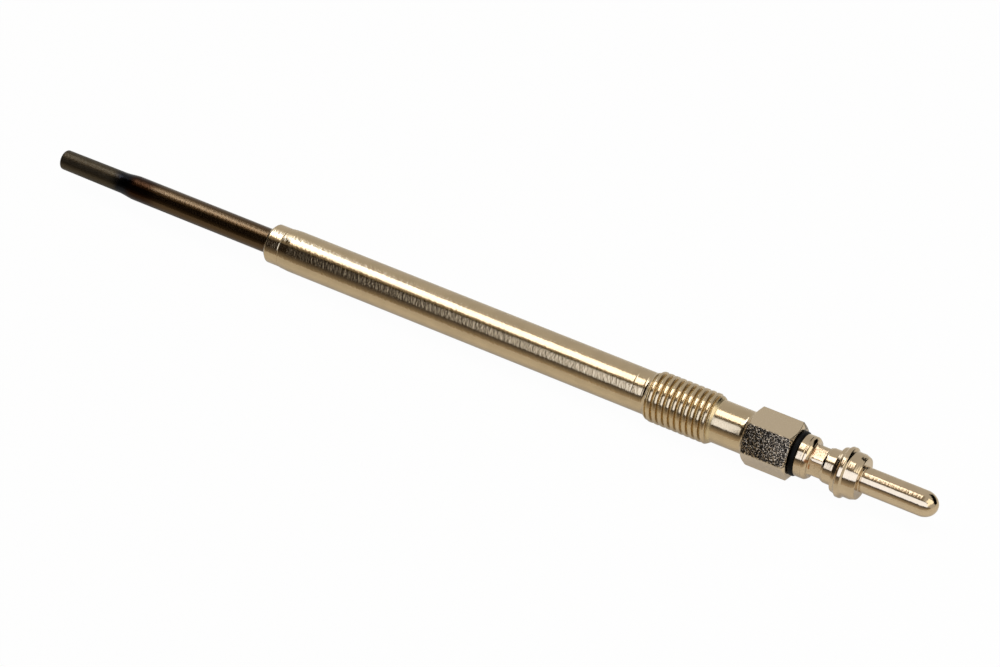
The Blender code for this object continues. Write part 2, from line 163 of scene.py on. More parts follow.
class TerminalSizes(bpy.types.PropertyGroup):
    flange_diameter: length("Flange", 6.54, "Diameter of the flange")
    flange_length: length("Flange length", 1.35, "Length of the flange")
    groove_front: length("Groove station", 0.98, "Start of the fine groove round the flange")
    groove_width: length("Groove width", 0.22, "Width of the fine groove")
    groove_depth: length("Groove depth", 0.06, "Depth of the fine groove")
    shoulder_length: length("Shoulder", 1.15, "Length of the rounded shoulder behind the flange")
    neck_diameter: length("Neck", 5.1, "Diameter of the neck")
    crimp_flats: length("Crimp", 4.66, "Width across the crimp's six flats")
    crimp_length: length("Crimp length", 1.5, "Length of the crimp behind the shoulder")
    crimp_turn: angle("Crimp turn", 20, "Angle of the crimp's corners")
    cone_length: length("Cone length", 1.85, "Length of the cone ahead of the barrel")
    cone_diameter: length("Cone", 5.44, "Diameter of the cone at the barrel")
    barrel_front_length: length("Barrel front", 0.06, "Length of the barrel's front face")
    barrel_front_diameter: length("Barrel front diameter", 6.84, "Diameter at the top of the front face")
    collar_length: length("Collar", 0.66, "Length ahead of the bead")
    barrel_diameter: length("Barrel", 7.16, "Diameter of the barrel under its bead")
    bead_diameter: length("Bead", 7.8, "Diameter over the bead")
    bead_length: length("Bead length", 1.2, "Length of the bead")
    bead_slope: length("Bead slope", 0.3, "Length of the slopes at the bead's two sides")
    barrel_length: length("Barrel length", 2.05, "Length of the barrel behind the bead")
    barrel_rear_diameter: length("Barrel rear", 7.0, "Diameter of the barrel behind the bead")
    taper_length: length("Taper length", 0.85, "Length of the barrel's tapered rear end")
    taper: length("Taper", 0.3, "Height of the barrel's tapered rear end")
    pin_diameter: length("Pin", 3.94, "Diameter of the push-on pin")
    dome_length: length("Dome", 2.3, "Length of the pin's domed end")
    bore: length("Bore", 3.1, "Bore for the connecting rod")
    bore_depth: length("Bore depth", 8.6, "Depth of the bore for the rod")
    sides: IntProperty(name="Sides", description="Columns of faces round the terminal", default=192, min=48)


class Finishes(bpy.types.PropertyGroup):
    plating: colour("Plating", (0.60, 0.46, 0.28), "Nickel plating of the housing")
    milled_plating: colour("Milled plating", (0.69, 0.55, 0.37), "Nickel plating over the milled hexagon")
    # Painted shade: the near-black colour of the shade inside each pit on the hexagon.
    pit_shade: colour("Pit shade", (0.025, 0.021, 0.019), "Pits on the hexagon's upper side flats")
    terminal_plating: colour("Terminal plating", (0.62, 0.48, 0.31), "Nickel plating of the terminal")
    # Painted light: lighter and yellower than the plating, to brighten the thread's grooves.
    painted_groove_light: colour("Painted groove light", (0.68, 0.54, 0.3), "Painted light: a lighter, yellower colour in the thread's grooves")
    copper: colour("Copper", (0.5, 0.24, 0.1), "Copper that shows at the crimp")
    oxide: colour("Oxide", (0.1, 0.06, 0.028), "Heat oxide of the glow tube")
    tip_oxide: colour("Tip oxide", (0.07, 0.052, 0.03), "Olive oxide of the swaged tip")
    blue_tint: colour("Blue tint", (0.012, 0.012, 0.014), "Blue heat tint behind the swage")
    red_tint: colour("Red tint", (0.03, 0.012, 0.0045), "Red heat tint behind the blue one")
    black_moulding: colour("Black moulding", (0.004, 0.004, 0.004), "Insulating washer")


class StageSettings(bpy.types.PropertyGroup):
    aim_station: length("Aim", 80.9, "Point on the axis that the camera looks at, from the hot tip")
    camera_distance: length("Camera distance", 503.4, "Distance from the camera to its aim")
    camera_azimuth: angle("Azimuth", 28.5, "Camera's turn round the plug")
    camera_elevation: angle("Elevation", 38.3, "Camera's height above the floor")
    camera_roll: angle("Roll", 3.23, "Turn of the camera about its view")
    focal_length: number("Focal length", 120.0, "Focal length of the lens in millimetres")
    key_radiance: number("Overhead lamp", 3.2, "Brightness of the overhead lamp")
    fill_radiance: number("Terminal fill", 4.0, "Brightness of the lamp over the terminal")
    panel_radiance: number("Side panel", 1.8, "Brightness of the panel beside the camera")
    background: number("Background", 1.0, "Brightness of the white background")
    plain_level: number("Plain light", 0.32, "Brightness of the light from all round")


class GlowPlugSettings(bpy.types.PropertyGroup):
    housing: PointerProperty(type=HousingSizes)
    tube: PointerProperty(type=TubeSizes)
    washer: PointerProperty(type=WasherSizes)
    terminal: PointerProperty(type=TerminalSizes)
    finishes: PointerProperty(type=Finishes)
    stage: PointerProperty(type=StageSettings)


class Wire:
    """One output of a shader node. Arithmetic on wires and numbers adds Math nodes."""

    def __init__(self, tree, node, output=0):
        self.tree = tree
        self.node = node
        self.socket = node.outputs[output]

    def at(self, output):
        return Wire(self.tree, self.node, output)

    def maths(self, operation, *values):
        node = self.tree.nodes.new("ShaderNodeMath")
        node.operation = operation
        for socket, value in zip(node.inputs, values):
            connect(self.tree, value, socket)
        return Wire(self.tree, node)

    def __add__(self, other):
        return self.maths("ADD", self, other)

    def __sub__(self, other):
        return self.maths("SUBTRACT", self, other)

    def __rsub__(self, other):
        return self.maths("SUBTRACT", other, self)

    def __mul__(self, other):
        return self.maths("MULTIPLY", self, other)

    def __pow__(self, other):
        return self.maths("POWER", self, other)

    def __abs__(self):
        return self.maths("ABSOLUTE", self)

    __radd__ = __add__
    __rmul__ = __mul__


def connect(tree, value, socket):
    """Links a wire to a socket, or sets the socket to a plain value."""
    if isinstance(value, Wire):
        tree.links.new(value.socket, socket)
    else:
        socket.default_value = value


class Shader:
    """Builds one node tree, on a Principled BSDF or on its bare output."""

    def __init__(self, tree, surface="ShaderNodeBsdfPrincipled", output="ShaderNodeOutputMaterial"):
        self.tree = tree
        tree.nodes.clear()
        self.output = tree.nodes.new(output)
        self.surface = tree.nodes.new(surface) if surface else None
        if self.surface:
            tree.links.new(self.surface.outputs[0], self.output.inputs["Surface"])

    def node(self, kind, settings=None, sockets=None):
        """A node of any kind: its settings are set first, then the values or links of its sockets."""
        node = self.tree.nodes.new(kind)
        for name, value in (settings or {}).items():
            setattr(node, name, value)
        for name, value in (sockets or {}).items():
            connect(self.tree, value, node.inputs[name])
        return Wire(self.tree, node)

    def set(self, **values):
        """Sets the surface's own sockets, named in lower case with underscores."""
        for name, value in values.items():
            connect(self.tree, value, self.surface.inputs[name.replace("_", " ").title()])

    def place(self):
        """The place in millimetres, with its zero on the plug's axis."""
        here = self.node("ShaderNodeTexCoord").at("Object")
        zero = (TUBE_FRONT, 0.0, AXIS_HEIGHT)
        moved = self.node("ShaderNodeVectorMath", {"operation": "SUBTRACT"}, {0: here, 1: zero})
        return self.node("ShaderNodeVectorMath", {"operation": "SCALE"}, {0: moved, "Scale": 1 / MM})

    def stretched(self, place, scale):
        return self.node("ShaderNodeMapping", None, {"Vector": place, "Scale": scale})

    def noise(self, place, scale, detail=2.0, roughness=0.5):
        sockets = {"Vector": place, "Scale": scale, "Detail": detail, "Roughness": roughness}
        return self.node("ShaderNodeTexNoise", None, sockets)

    def step(self, value, low, high):
        """Rises smoothly from 0 at low to 1 at high, or falls where low is the larger."""
        sockets = {"Value": value, "From Min": min(low, high), "From Max": max(low, high)}
        rise = self.node("ShaderNodeMapRange", {"interpolation_type": "SMOOTHSTEP"}, sockets)
        return rise if low < high else 1 - rise

    def band(self, value, low, high, soft):
        """1 between low and high, with soft edges."""
        return self.step(value, low - soft, low + soft) * self.step(value, high + soft, high - soft)

    def blend(self, factor, first, second):
        """The first colour where the factor is 0 and the second where it is 1."""
        pair = [(*c, 1.0) if isinstance(c, tuple) else c for c in (first, second)]
        return self.node("ShaderNodeMix", {"data_type": "RGBA"}, {0: factor, 6: pair[0], 7: pair[1]}).at(2)

    def bump(self, height, distance):
        return self.node("ShaderNodeBump", None, {"Height": height, "Distance": distance, "Strength": 1.0})

    def show(self, surface):
        connect(self.tree, surface, self.output.inputs["Surface"])


def settings():
    return bpy.context.scene.glow_plug


def new_material(name):
    made = bpy.data.materials.new(name)
    made.use_nodes = True
    return made


def axis_parts(shader, place):
    """The station, the radius, and the way round the surface from its highest line, as three wires."""
    parts = shader.node("ShaderNodeSeparateXYZ", None, {0: place})
    along, across, up = parts.at("X"), parts.at("Y"), parts.at("Z")
    radius = (across * across + up * up) ** 0.5
    return along, radius, radius * across.maths("ARCTAN2", across, up)


def from_top(shader, place):
    """The angle round the axis from straight up, in radians, alike on both sides."""
    parts = shader.node("ShaderNodeSeparateXYZ", None, {0: place})
    return place.maths("ARCTAN2", abs(parts.at("Y")), parts.at("Z"))


def streaks(shader, along, around, fine, long, slant):
    """Noise drawn out into short slanted marks: fine is their number per millimetre along the axis, and long
    is that across it."""
    spread = {"X": (along + around * slant) * fine, "Y": around * long, "Z": 0.0}
    drawn_out = shader.node("ShaderNodeCombineXYZ", None, spread)
    return shader.noise(drawn_out, scale=1.0, detail=3.0, roughness=0.6)


def plated_housing():
    """Warm nickel over a finely grained surface, with painted shade in near-black spots on the hexagon's
    upper side flats, turning marks on the body, and painted light in the thread's grooves. Stations and radii
    are in millimetres, from the hot tip and from the axis."""
    made = new_material("plated_housing")
    s = Shader(made.node_tree)
    f = settings().finishes
    place = s.place()
    along, radius, around = axis_parts(s, place)
    body_end, body_marks_end = 106.6, 105.8
    thread_start, thread_end = 107.5, 118.3
    hexagon_start, hexagon_full = 123.2, 123.7
    clean_radius, dirty_radius = 3.7, 3.42
    body = s.step(along, body_end, body_marks_end)
    thread = s.band(along, thread_start, thread_end, 0.3)
    hexagon = s.step(along, hexagon_start, hexagon_full)
    cloud = s.noise(place, scale=0.35, detail=2.0)
    tinted = s.blend(s.step(cloud, 0.35, 0.65), tuple(f.plating), tuple(c * 0.93 for c in f.plating))
    tinted = s.blend(hexagon, tinted, tuple(f.milled_plating))
    coarse = hexagon * s.band(from_top(s, place), low=SIXTH / 2, high=3 * SIXTH / 2, soft=0.03)
    # Painted shade: near-black spots stand for the shade inside each pit, only on the hexagon's two upper
    # side flats.
    shaded_pits = s.step(s.noise(place, scale=4.2, detail=2.0, roughness=0.6), 0.58, 0.5)
    groove = s.step(radius, clean_radius, dirty_radius) * thread
    pit_shade_share, groove_light_share = 0.95, 0.75
    tinted = s.blend(coarse * shaded_pits * pit_shade_share, tinted, tuple(f.pit_shade))
    # Painted light: the thread's grooves take a lighter, yellower colour than the plating.
    s.set(base_color=s.blend(groove * groove_light_share, tinted, tuple(f.painted_groove_light)))
    s.set(metallic=1.0)
    s.set(roughness=0.12 + 0.04 * s.noise(place, scale=1.3, detail=3.0) + 0.25 * groove + 0.06 * hexagon)
    grain = s.noise(place, scale=2.6, detail=3.0, roughness=0.65)
    marks = streaks(s, along, around, fine=2.1, long=0.8, slant=0.35)
    fine = s.noise(place, scale=3.4, detail=2.0, roughness=0.6)
    relief = grain * (2.6 * coarse + 0.4 * hexagon) + marks * body * 0.5 + fine * 0.2
    s.set(normal=s.bump(relief, distance=0.05 * MM))
    return made


def plated_terminal():
    """Bright nickel with fine turning marks, and copper that shows along the crimp."""
    made = new_material("plated_terminal")
    s = Shader(made.node_tree)
    f = settings().finishes
    place = s.place()
    cloud = s.noise(place, scale=0.5, detail=2.0)
    plating = tuple(f.terminal_plating)
    tinted = s.blend(s.step(cloud, 0.35, 0.65), plating, tuple(c * 0.94 for c in plating))
    worn = s.node("ShaderNodeAttribute", {"attribute_name": "copper"}).at("Fac")
    patchy = s.noise(place, scale=2.5, detail=3.0)
    shown = s.step(worn * (0.6 + 0.8 * patchy), 0.25, 0.8)
    s.set(base_color=s.blend(shown, tinted, tuple(f.copper)))
    s.set(metallic=1.0)
    s.set(roughness=0.09 + 0.05 * s.noise(place, scale=1.5, detail=3.0) + 0.15 * shown)
    rings = s.noise(s.stretched(place, (3.2, 0.25, 0.25)), scale=1.0, detail=3.0, roughness=0.6)
    grain = s.noise(place, scale=3.0, detail=2.0, roughness=0.6)
    s.set(normal=s.bump(rings * 0.6 + grain * 0.3, distance=0.03 * MM))
    return made


def oxidised_sheath():
    """Dark satin oxide, olive at the swaged tip, with a blue and a red heat tint behind the swage.
    Each tint gives way to the next between two stations, in millimetres from the hot tip."""
    made = new_material("oxidised_sheath")
    s = Shader(made.node_tree)
    f = settings().finishes
    place = s.place()
    along, radius, around = axis_parts(s, place)
    cloud = s.noise(place, scale=0.45, detail=3.0)
    shifted = along + 2.0 * (cloud - 0.5)
    colour = s.blend(s.step(shifted, 9.5, 11.5), tuple(f.tip_oxide), tuple(f.blue_tint))
    colour = s.blend(s.step(shifted, 12.5, 14.5), colour, tuple(f.red_tint))
    colour = s.blend(s.step(shifted, 16.0, 20.5), colour, tuple(f.oxide))
    s.set(base_color=colour)
    s.set(metallic=1.0)
    duller_tip = s.step(along, 13.0, 9.0)
    s.set(roughness=0.14 + 0.2 * duller_tip + 0.08 * s.noise(place, scale=1.2, detail=3.0))
    marks = streaks(s, along, around, fine=2.0, long=0.5, slant=0.5)
    fine = s.noise(place, scale=3.0, detail=2.0)
    s.set(normal=s.bump(marks * 0.6 + fine * 0.3, distance=0.03 * MM))
    return made


def grained(name, colour, darker, metallic, roughness, scale, depth):
    """A plain finish with a mottled colour and a fine grain, for the washer and the pieces inside."""
    made = new_material(name)
    s = Shader(made.node_tree)
    place = s.place()
    cloud = s.noise(place, scale, detail=3.0)
    s.set(base_color=s.blend(s.step(cloud, 0.3, 0.7), colour, darker))
    s.set(metallic=metallic)
    s.set(roughness=roughness + 0.12 * (cloud - 0.5))
    s.set(normal=s.bump(s.noise(place, scale * 6, detail=3.0), depth))
    return made


def black_moulding():
    """Black moulding whose low refractive index keeps its reflections faint."""
    black = tuple(settings().finishes.black_moulding)
    darker = tuple(c * 0.5 for c in black)
    made = grained("black_insulator", black, darker, metallic=0.0, roughness=0.4, scale=0.8, depth=0.01 * MM)
    made.node_tree.nodes["Principled BSDF"].inputs["IOR"].default_value = 1.15
    return made


def skin(name, x, r, angles, closed=False, poles=(False, False)):
    """Mesh of a skin round the plug's axis. Row i and column j of the grid is the point at x[i], r[i, j] and
    angles[i, j]. A closed skin joins its last row to its first, and a pole closes an end row on the axis."""
    rows, sides = r.shape
    x = np.broadcast_to(np.asarray(x)[:, None], r.shape)
    points = np.stack((x, r * np.cos(angles), AXIS_HEIGHT + r * np.sin(angles)), -1).reshape(-1, 3)
    index = np.arange(rows * sides).reshape(rows, sides)
    after = np.roll(index, -1, axis=1)
    ends = slice(None) if closed else slice(None, -1)
    next_row, next_after = np.roll(index, -1, axis=0)[ends], np.roll(after, -1, axis=0)[ends]
    faces = np.stack((index[ends], after[ends], next_after, next_row), -1).reshape(-1, 4).tolist()
    added = []
    for pole, row, first, second in ((poles[0], 0, after[0], index[0]), (poles[1], -1, index[-1], after[-1])):
        if pole:
            faces += np.stack((np.full(sides, len(points) + len(added)), first, second), -1).tolist()
            added.append((x[row, 0], 0.0, AXIS_HEIGHT))
    mesh = bpy.data.meshes.new(name)
    mesh.from_pydata(points.tolist() + added, [], faces)
    mesh.shade_smooth()
    obj = bpy.data.objects.new(name, mesh)
    bpy.context.scene.collection.objects.link(obj)
    return obj


def rounded(corners):
    """Outline through the corners (x, r, edge). Each corner gives way to an arc of its edge radius, tangent
    to both of its sides, with one more point on each side that keeps the flat stretches flat."""
    points = np.array([c[:2] for c in corners], float)
    edges = [c[2] for c in corners[1:-1]]
    share_of_side, share_of_room, support_share = 0.45, 0.8, 0.4
    outline = [points[0]]
    for before, corner, after, edge in zip(points, points[1:], points[2:], edges):
        to_before, to_after = before - corner, after - corner
        room = share_of_side * min(np.hypot(*to_before), np.hypot(*to_after))
        to_before, to_after = to_before / np.hypot(*to_before), to_after / np.hypot(*to_after)
        half = math.acos(np.clip(to_before @ to_after, -1, 1)) / 2
        reach = min(edge / math.tan(half), share_of_room * room)
        radius = reach * math.tan(half)
        middle = to_before + to_after
        centre = corner + middle / np.hypot(*middle) * radius / math.sin(half)
        start, end = corner + to_before * reach - centre, corner + to_after * reach - centre
        turn = math.pi - 2 * half
        steps = max(2, math.ceil(turn / ARC_STEP))
        share = np.arange(steps + 1)[:, None] / steps
        arc = (np.sin((1 - share) * turn) * start + np.sin(share * turn) * end) / math.sin(turn)
        far = reach + min(support_share * reach, room - reach)
        outline += [corner + to_before * far, *(centre + arc), corner + to_after * far]
    outline.append(points[-1])
    return np.array(outline)


def columns(sides):
    return np.arange(sides) * 2 * math.pi / sides


def turned(radii, sides):
    """Angles and radii of a surface of revolution: a row for each radius, and a column for each side."""
    return np.repeat(columns(sides)[None, :], len(radii), axis=0), np.repeat(radii[:, None], sides, axis=1)


def softer_min(a, b, width):
    """The smaller of two values, with the edge between them rounded over about the width."""
    return (a + b - np.sqrt((a - b) ** 2 + width**2)) / 2


def flats_radius(angles, across, rounding):
    """Radius of a regular hexagon with corners at multiples of sixty degrees: the straight flats, and near
    each corner the circle of the rounding radius that is tangent to both flats."""
    apothem = across / 2
    off = np.abs((angles + SIXTH / 2) % SIXTH - SIXTH / 2)
    flat = apothem / np.cos(SIXTH / 2 - off)
    tangent = SIXTH / 2 - math.atan((apothem - rounding) * math.tan(SIXTH / 2) / apothem)
    centre = (apothem - rounding) / math.cos(SIXTH / 2)
    arc = centre * np.cos(off) + np.sqrt(np.maximum(rounding**2 - (centre * np.sin(off)) ** 2, 0))
    return np.where(off < tangent, arc, flat)


def thread_radius(h, x, angles):
    """Radius of a right-hand thread with rounded crests and roots: a groove between crowned crests. It grows
    out of the body at its front and is held under a cone at its rear. The share is 0 in the groove's middle
    and 1 on the crest, and the flank rises over flank_share of it from root_share."""
    crest, root = h.thread_crest / 2, h.thread_root / 2
    crown_drop, root_share, flank_share = 0.035 * MM, 0.12, 0.36
    phase = x[:, None] / h.thread_pitch - (angles + h.thread_turn) / (2 * math.pi)
    share = np.abs(phase - np.round(phase)) * 2
    crown = crest - crown_drop * (1 - share) ** 2
    flank = root + (crest - root) * (share - root_share) / flank_share
    form = softer_min(crown, flank, 0.06 * MM)
    form = -softer_min(-form, -np.full_like(form, root), 0.05 * MM)
    grown = np.clip(x / h.lead_in, 0, 1)[:, None]
    form = h.body_diameter / 2 + (form - h.body_diameter / 2) * grown**2 * (3 - 2 * grown)
    fall = (crest - h.shank_diameter / 2) / h.run_out
    cone = (h.shank_diameter / 2 + (h.thread_length - x) * fall)[:, None]
    return np.minimum(softer_min(form, cone, 0.04 * MM), cone)


def housing_piece():
    """The housing's skin: a turned outline, whose stretch over the thread follows the helix, and whose
    hexagon is the smaller of the turned blank and the six flats."""
    h = settings().housing
    front = HOUSING_LOW.x
    total = HOUSING_HIGH.x - HOUSING_LOW.x
    hex_front = total - h.hex_length
    nose, body, shank = h.nose_diameter / 2, h.body_diameter / 2, h.shank_diameter / 2
    ring_edge, dip = 0.06 * MM, 0.03 * MM
    corners = [(0.0, h.tube_seat / 2, 0.0), (0.0, nose - h.nose_chamfer, 0.08 * MM),
               (h.nose_chamfer_length, nose, 0.25 * MM), (h.nose_length - 0.1 * MM, nose, dip),
               (h.nose_length, nose - dip, dip), (h.nose_length + 0.14 * MM, nose + 0.06 * MM, SMALL_EDGE),
               (h.nose_length + h.step_length, body, 2.0 * MM)]
    for ring in (1, 0):
        rear = h.thread_front - h.groove_offset - ring * h.groove_pitch
        corners += [(rear - h.groove_width, body, ring_edge),
                    (rear - h.groove_width / 2, body - h.groove_depth, ring_edge), (rear, body, ring_edge)]
    corners.append((h.thread_front, body, 0.0))
    plain = rounded(corners)

    rows_per_pitch = 20
    steps = round(rows_per_pitch * h.thread_length / h.thread_pitch)
    along = np.arange(1, steps) * h.thread_length / steps

    fillet = np.arange(9) / 8 * math.pi / 2
    fillet_x = hex_front - h.fillet_length * (1 - np.sin(fillet))
    fillet_r = shank + h.fillet_height * (1 - np.cos(fillet))
    over_corners, chamfer_rows, chamfer_angle = 1.03, 14, math.radians(30)
    blank = over_corners * h.across_flats / 2 / math.cos(SIXTH / 2)
    chamfer = np.linspace(h.face_diameter / 2, blank, chamfer_rows)
    rise = (chamfer - h.face_diameter / 2) * math.tan(chamfer_angle)
    margin = 0.3 * MM
    middle = np.array([rise[-1] + margin, h.hex_length / 2, h.hex_length - rise[-1] - margin])
    hex_x = np.concatenate((rise, middle, h.hex_length - rise[::-1]))
    hex_r = np.concatenate((chamfer, np.full(3, blank), chamfer[::-1]))

    thread_rear = h.thread_front + h.thread_length
    shank_x = np.array([thread_rear, thread_rear + 0.1 * MM, thread_rear + 1.0 * MM, fillet_x[0] - 0.3 * MM])
    seat, bore, counter = h.tube_seat / 2, h.bore / 2, h.counterbore / 2
    counter_front = total - h.counterbore_depth
    inside = rounded([
        (total, h.face_diameter / 2 - 0.15 * MM, 0.0), (total, counter, SMALL_EDGE),
        (counter_front, counter, SMALL_EDGE), (counter_front, bore, SMALL_EDGE),
        (h.seat_depth + bore - seat, bore, SMALL_EDGE), (h.seat_depth, seat, SMALL_EDGE),
        (SMALL_EDGE, seat, 0.0)])

    x = np.concatenate(
        (plain[:, 0], h.thread_front + along, shank_x, fillet_x, hex_front + hex_x, inside[:, 0]))
    shank_r = np.full(len(shank_x), shank)
    r = np.concatenate((plain[:, 1], np.zeros(len(along)), shank_r, fillet_r, hex_r, inside[:, 1]))
    first_fillet = len(plain) + len(along) + len(shank_x)
    last_hex = first_fillet + len(fillet_x) + len(hex_x)
    # The columns crowd towards the hexagon's corners. They shift there over the shank's last rows.
    crowding = 0.85
    squeeze = np.zeros(len(x))
    squeeze[first_fillet - 3:first_fillet] = (0.3, 0.6, crowding)
    squeeze[first_fillet:last_hex] = crowding
    round_angles = columns(h.sides)
    angles = round_angles[None, :] - squeeze[:, None] * np.sin(6 * round_angles)[None, :] / 6
    radius = np.repeat(r[:, None], h.sides, axis=1)
    thread = slice(len(plain), len(plain) + len(along))
    radius[thread] = thread_radius(h, along, angles[thread])
    milled = slice(first_fillet, last_hex)
    flats = flats_radius(angles[milled], h.across_flats, h.corner_rounding)
    blanked = radius[milled]
    inside_flats = blanked < h.across_flats / 2 - 0.12 * MM
    radius[milled] = np.where(inside_flats, blanked, softer_min(blanked, flats, 0.03 * MM))
    return skin("housing_surface", front + x, radius, angles, closed=True)


def tube_piece():
    """The glow tube's skin: a straight tube, swaged down along half a cosine wave to its closed tip."""
    t = settings().tube
    total = TUBE_REAR - TUBE_FRONT
    swage_rear = t.tip_length + t.swage_length
    pole_radius, step_edge, swage_rows = 0.3 * MM, 0.5 * MM, 12
    share = np.arange(1, swage_rows) / swage_rows
    wave = (1 - np.cos(share * math.pi)) / 2
    swage = np.stack((t.tip_length + share * t.swage_length,
                      (t.tip_rear_diameter + wave * (t.diameter - t.tip_rear_diameter)) / 2), -1)
    tip = rounded([
        (0.0, pole_radius, 0.0), (0.0, t.tip_diameter / 2, t.tip_edge),
        (t.tip_length, t.tip_rear_diameter / 2, 0.0)])
    rear = rounded([
        (swage_rear, t.diameter / 2, 0.0), (total, t.diameter / 2, EDGE), (total, t.bore / 2, EDGE),
        (swage_rear, t.bore / 2, step_edge), (t.tip_length, t.tip_bore / 2, step_edge),
        (t.tip_wall, t.tip_bore / 2, 0.2 * MM), (t.tip_wall, 0.1 * MM, 0.0)])
    outline = np.concatenate((tip, swage, rear))
    angles, radius = turned(outline[:, 1], t.sides)
    return skin("glow_tube_surface", TUBE_FRONT + outline[:, 0], radius, angles, poles=(True, True))


def washer_piece():
    """The insulating washer's skin: a flange with rounded rims behind its spigot."""
    w = settings().washer
    total = WASHER_REAR - WASHER_FRONT
    face = total - w.thickness
    outline = rounded([
        (0.0, w.bore / 2, 0.0), (0.0, w.spigot_diameter / 2, EDGE), (face, w.spigot_diameter / 2, SMALL_EDGE),
        (face, w.diameter / 2, w.rim), (total, w.diameter / 2, w.rim), (total, w.bore / 2, SMALL_EDGE),
        (0.1 * MM, w.bore / 2, 0.0)])
    angles, radius = turned(outline[:, 1], w.sides)
    return skin("insulating_washer_surface", WASHER_FRONT + outline[:, 0], radius, angles, closed=True)


def terminal_outline(t):
    """The terminal's turned outline from the flange's face to its pole, with the stations of the neck's two
    ends. The shoulder is half a cosine wave and the dome a quarter of an ellipse."""
    total = TERMINAL_REAR - TERMINAL_FRONT
    flange, neck, pin = t.flange_diameter / 2, t.neck_diameter / 2, t.pin_diameter / 2
    neck_front = t.flange_length + t.shoulder_length
    crimp_rear = neck_front + t.crimp_length
    barrel = crimp_rear + t.cone_length
    slope_rear = barrel + t.barrel_front_length
    bead_front = slope_rear + t.collar_length
    bead_rear = bead_front + t.bead_length
    barrel_rear = bead_rear + t.barrel_length
    shoulder_rows, crimp_rows, dome_rows = 14, 25, 18
    wave = np.arange(shoulder_rows + 1) / shoulder_rows
    shoulder_r = neck + (flange - neck) * (1 + np.cos(math.pi * wave)) / 2
    shoulder = np.stack((t.flange_length + wave * t.shoulder_length, shoulder_r), -1)
    crimp_x = np.linspace(neck_front, crimp_rear, crimp_rows + 1)[1:-1]
    crimp = np.stack((crimp_x, np.full(len(crimp_x), neck)), -1)
    quarter = np.arange(dome_rows) / dome_rows * math.pi / 2
    dome = np.stack((total - t.dome_length * (1 - np.sin(quarter)), pin * np.cos(quarter)), -1)
    groove_rear, groove_edge = t.groove_front + t.groove_width, 0.06 * MM
    front = rounded([
        (0.0, t.bore / 2, 0.0), (0.0, flange, EDGE), (t.groove_front, flange, groove_edge),
        (t.groove_front + t.groove_width / 2, flange - t.groove_depth, groove_edge),
        (groove_rear, flange, groove_edge), (t.flange_length, flange, 0.0)])
    bead, barrel_rear_radius = t.bead_diameter / 2, t.barrel_rear_diameter / 2
    slope, bead_edge, bead_root, barrel_edge = t.bead_slope, 0.2 * MM, 0.25 * MM, 0.15 * MM
    barrel = rounded([
        (crimp_rear, neck, 0.0), (crimp_rear + 0.05 * MM, neck, 0.02 * MM),
        (crimp_rear + 0.35 * MM, t.cone_diameter / 2 - 0.05 * MM, 0.3 * MM),
        (barrel, t.cone_diameter / 2, barrel_edge),
        (slope_rear, t.barrel_front_diameter / 2, 0.12 * MM), (bead_front, t.barrel_diameter / 2, bead_root),
        (bead_front + slope, bead, bead_edge), (bead_rear - slope, bead, bead_edge),
        (bead_rear, barrel_rear_radius, bead_root),
        (barrel_rear - t.taper_length, barrel_rear_radius, 0.6 * MM),
        (barrel_rear, barrel_rear_radius - t.taper, barrel_edge), (barrel_rear, pin, barrel_edge),
        (total - t.dome_length - 0.05 * MM, pin, 0.0)])
    return np.concatenate((front, shoulder[1:], crimp, barrel, dome)), neck_front, crimp_rear


def worn_patch(behind, angle, middle, reach, centre, spread):
    """A soft patch about a distance behind the flats' front edge in millimetres, and about an angle in
    degrees: a bell curve along the axis, and a flatter one with steeper sides round it."""
    return np.exp(-((behind - middle) / reach) ** 2 - ((angle - centre) / spread) ** 4)


def terminal_piece():
    """The terminal's skin: a turned outline whose neck is pressed in to six flats, which also cut into the
    shoulder. The copper attribute follows the front edge of the flats."""
    t = settings().terminal
    outline, neck_front, crimp_rear = terminal_outline(t)
    bore = rounded([
        (t.bore_depth, 0.1 * MM, 0.0), (t.bore_depth, t.bore / 2, EDGE), (SMALL_EDGE, t.bore / 2, 0.0)])
    x = np.concatenate((bore[:, 0], outline[:, 0]))
    angles, radius = turned(np.concatenate((bore[:, 1], outline[:, 1])), t.sides)
    press_front = neck_front - 0.45 * t.shoulder_length
    row = np.arange(len(x))
    pressed = row[(row >= len(bore)) & (x > press_front) & (x < crimp_rear)]
    flats = flats_radius(angles[pressed] - t.crimp_turn, t.crimp_flats, EDGE)
    before = radius[pressed]
    radius[pressed] = np.minimum(softer_min(before, flats, 0.04 * MM), before)
    made = skin("terminal_surface", TERMINAL_FRONT + x, radius, angles, poles=(True, True))
    first_cut = np.argmax(before > flats, axis=0)
    behind = (x[:, None] - x[pressed[first_cut]][None, :]) / MM
    angle = np.degrees(angles)
    copper = worn_patch(behind, angle, middle=0.08, reach=0.12, centre=112, spread=17)
    copper += worn_patch(behind, angle, middle=0.1, reach=0.14, centre=171, spread=12)
    copper += worn_patch(behind, angle, middle=-0.3, reach=0.35, centre=151, spread=5)
    copper[:len(bore)] = 0.0
    values = np.concatenate((copper.ravel(), (0.0, 0.0)))
    made.data.attributes.new("copper", "FLOAT", "POINT").data.foreach_set("value", values)
    return made


def dress(piece, node, material):
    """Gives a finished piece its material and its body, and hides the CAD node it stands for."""
    piece.data.materials.append(material)
    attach(piece, "root")
    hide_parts(node)


def sheet(name, corners, material):
    """A flat sheet of the studio, through its corners."""
    mesh = bpy.data.meshes.new(name)
    mesh.from_pydata(corners, [], [tuple(range(len(corners)))])
    mesh.materials.append(material)
    obj = bpy.data.objects.new(name, mesh)
    bpy.context.scene.collection.objects.link(obj)
    return obj


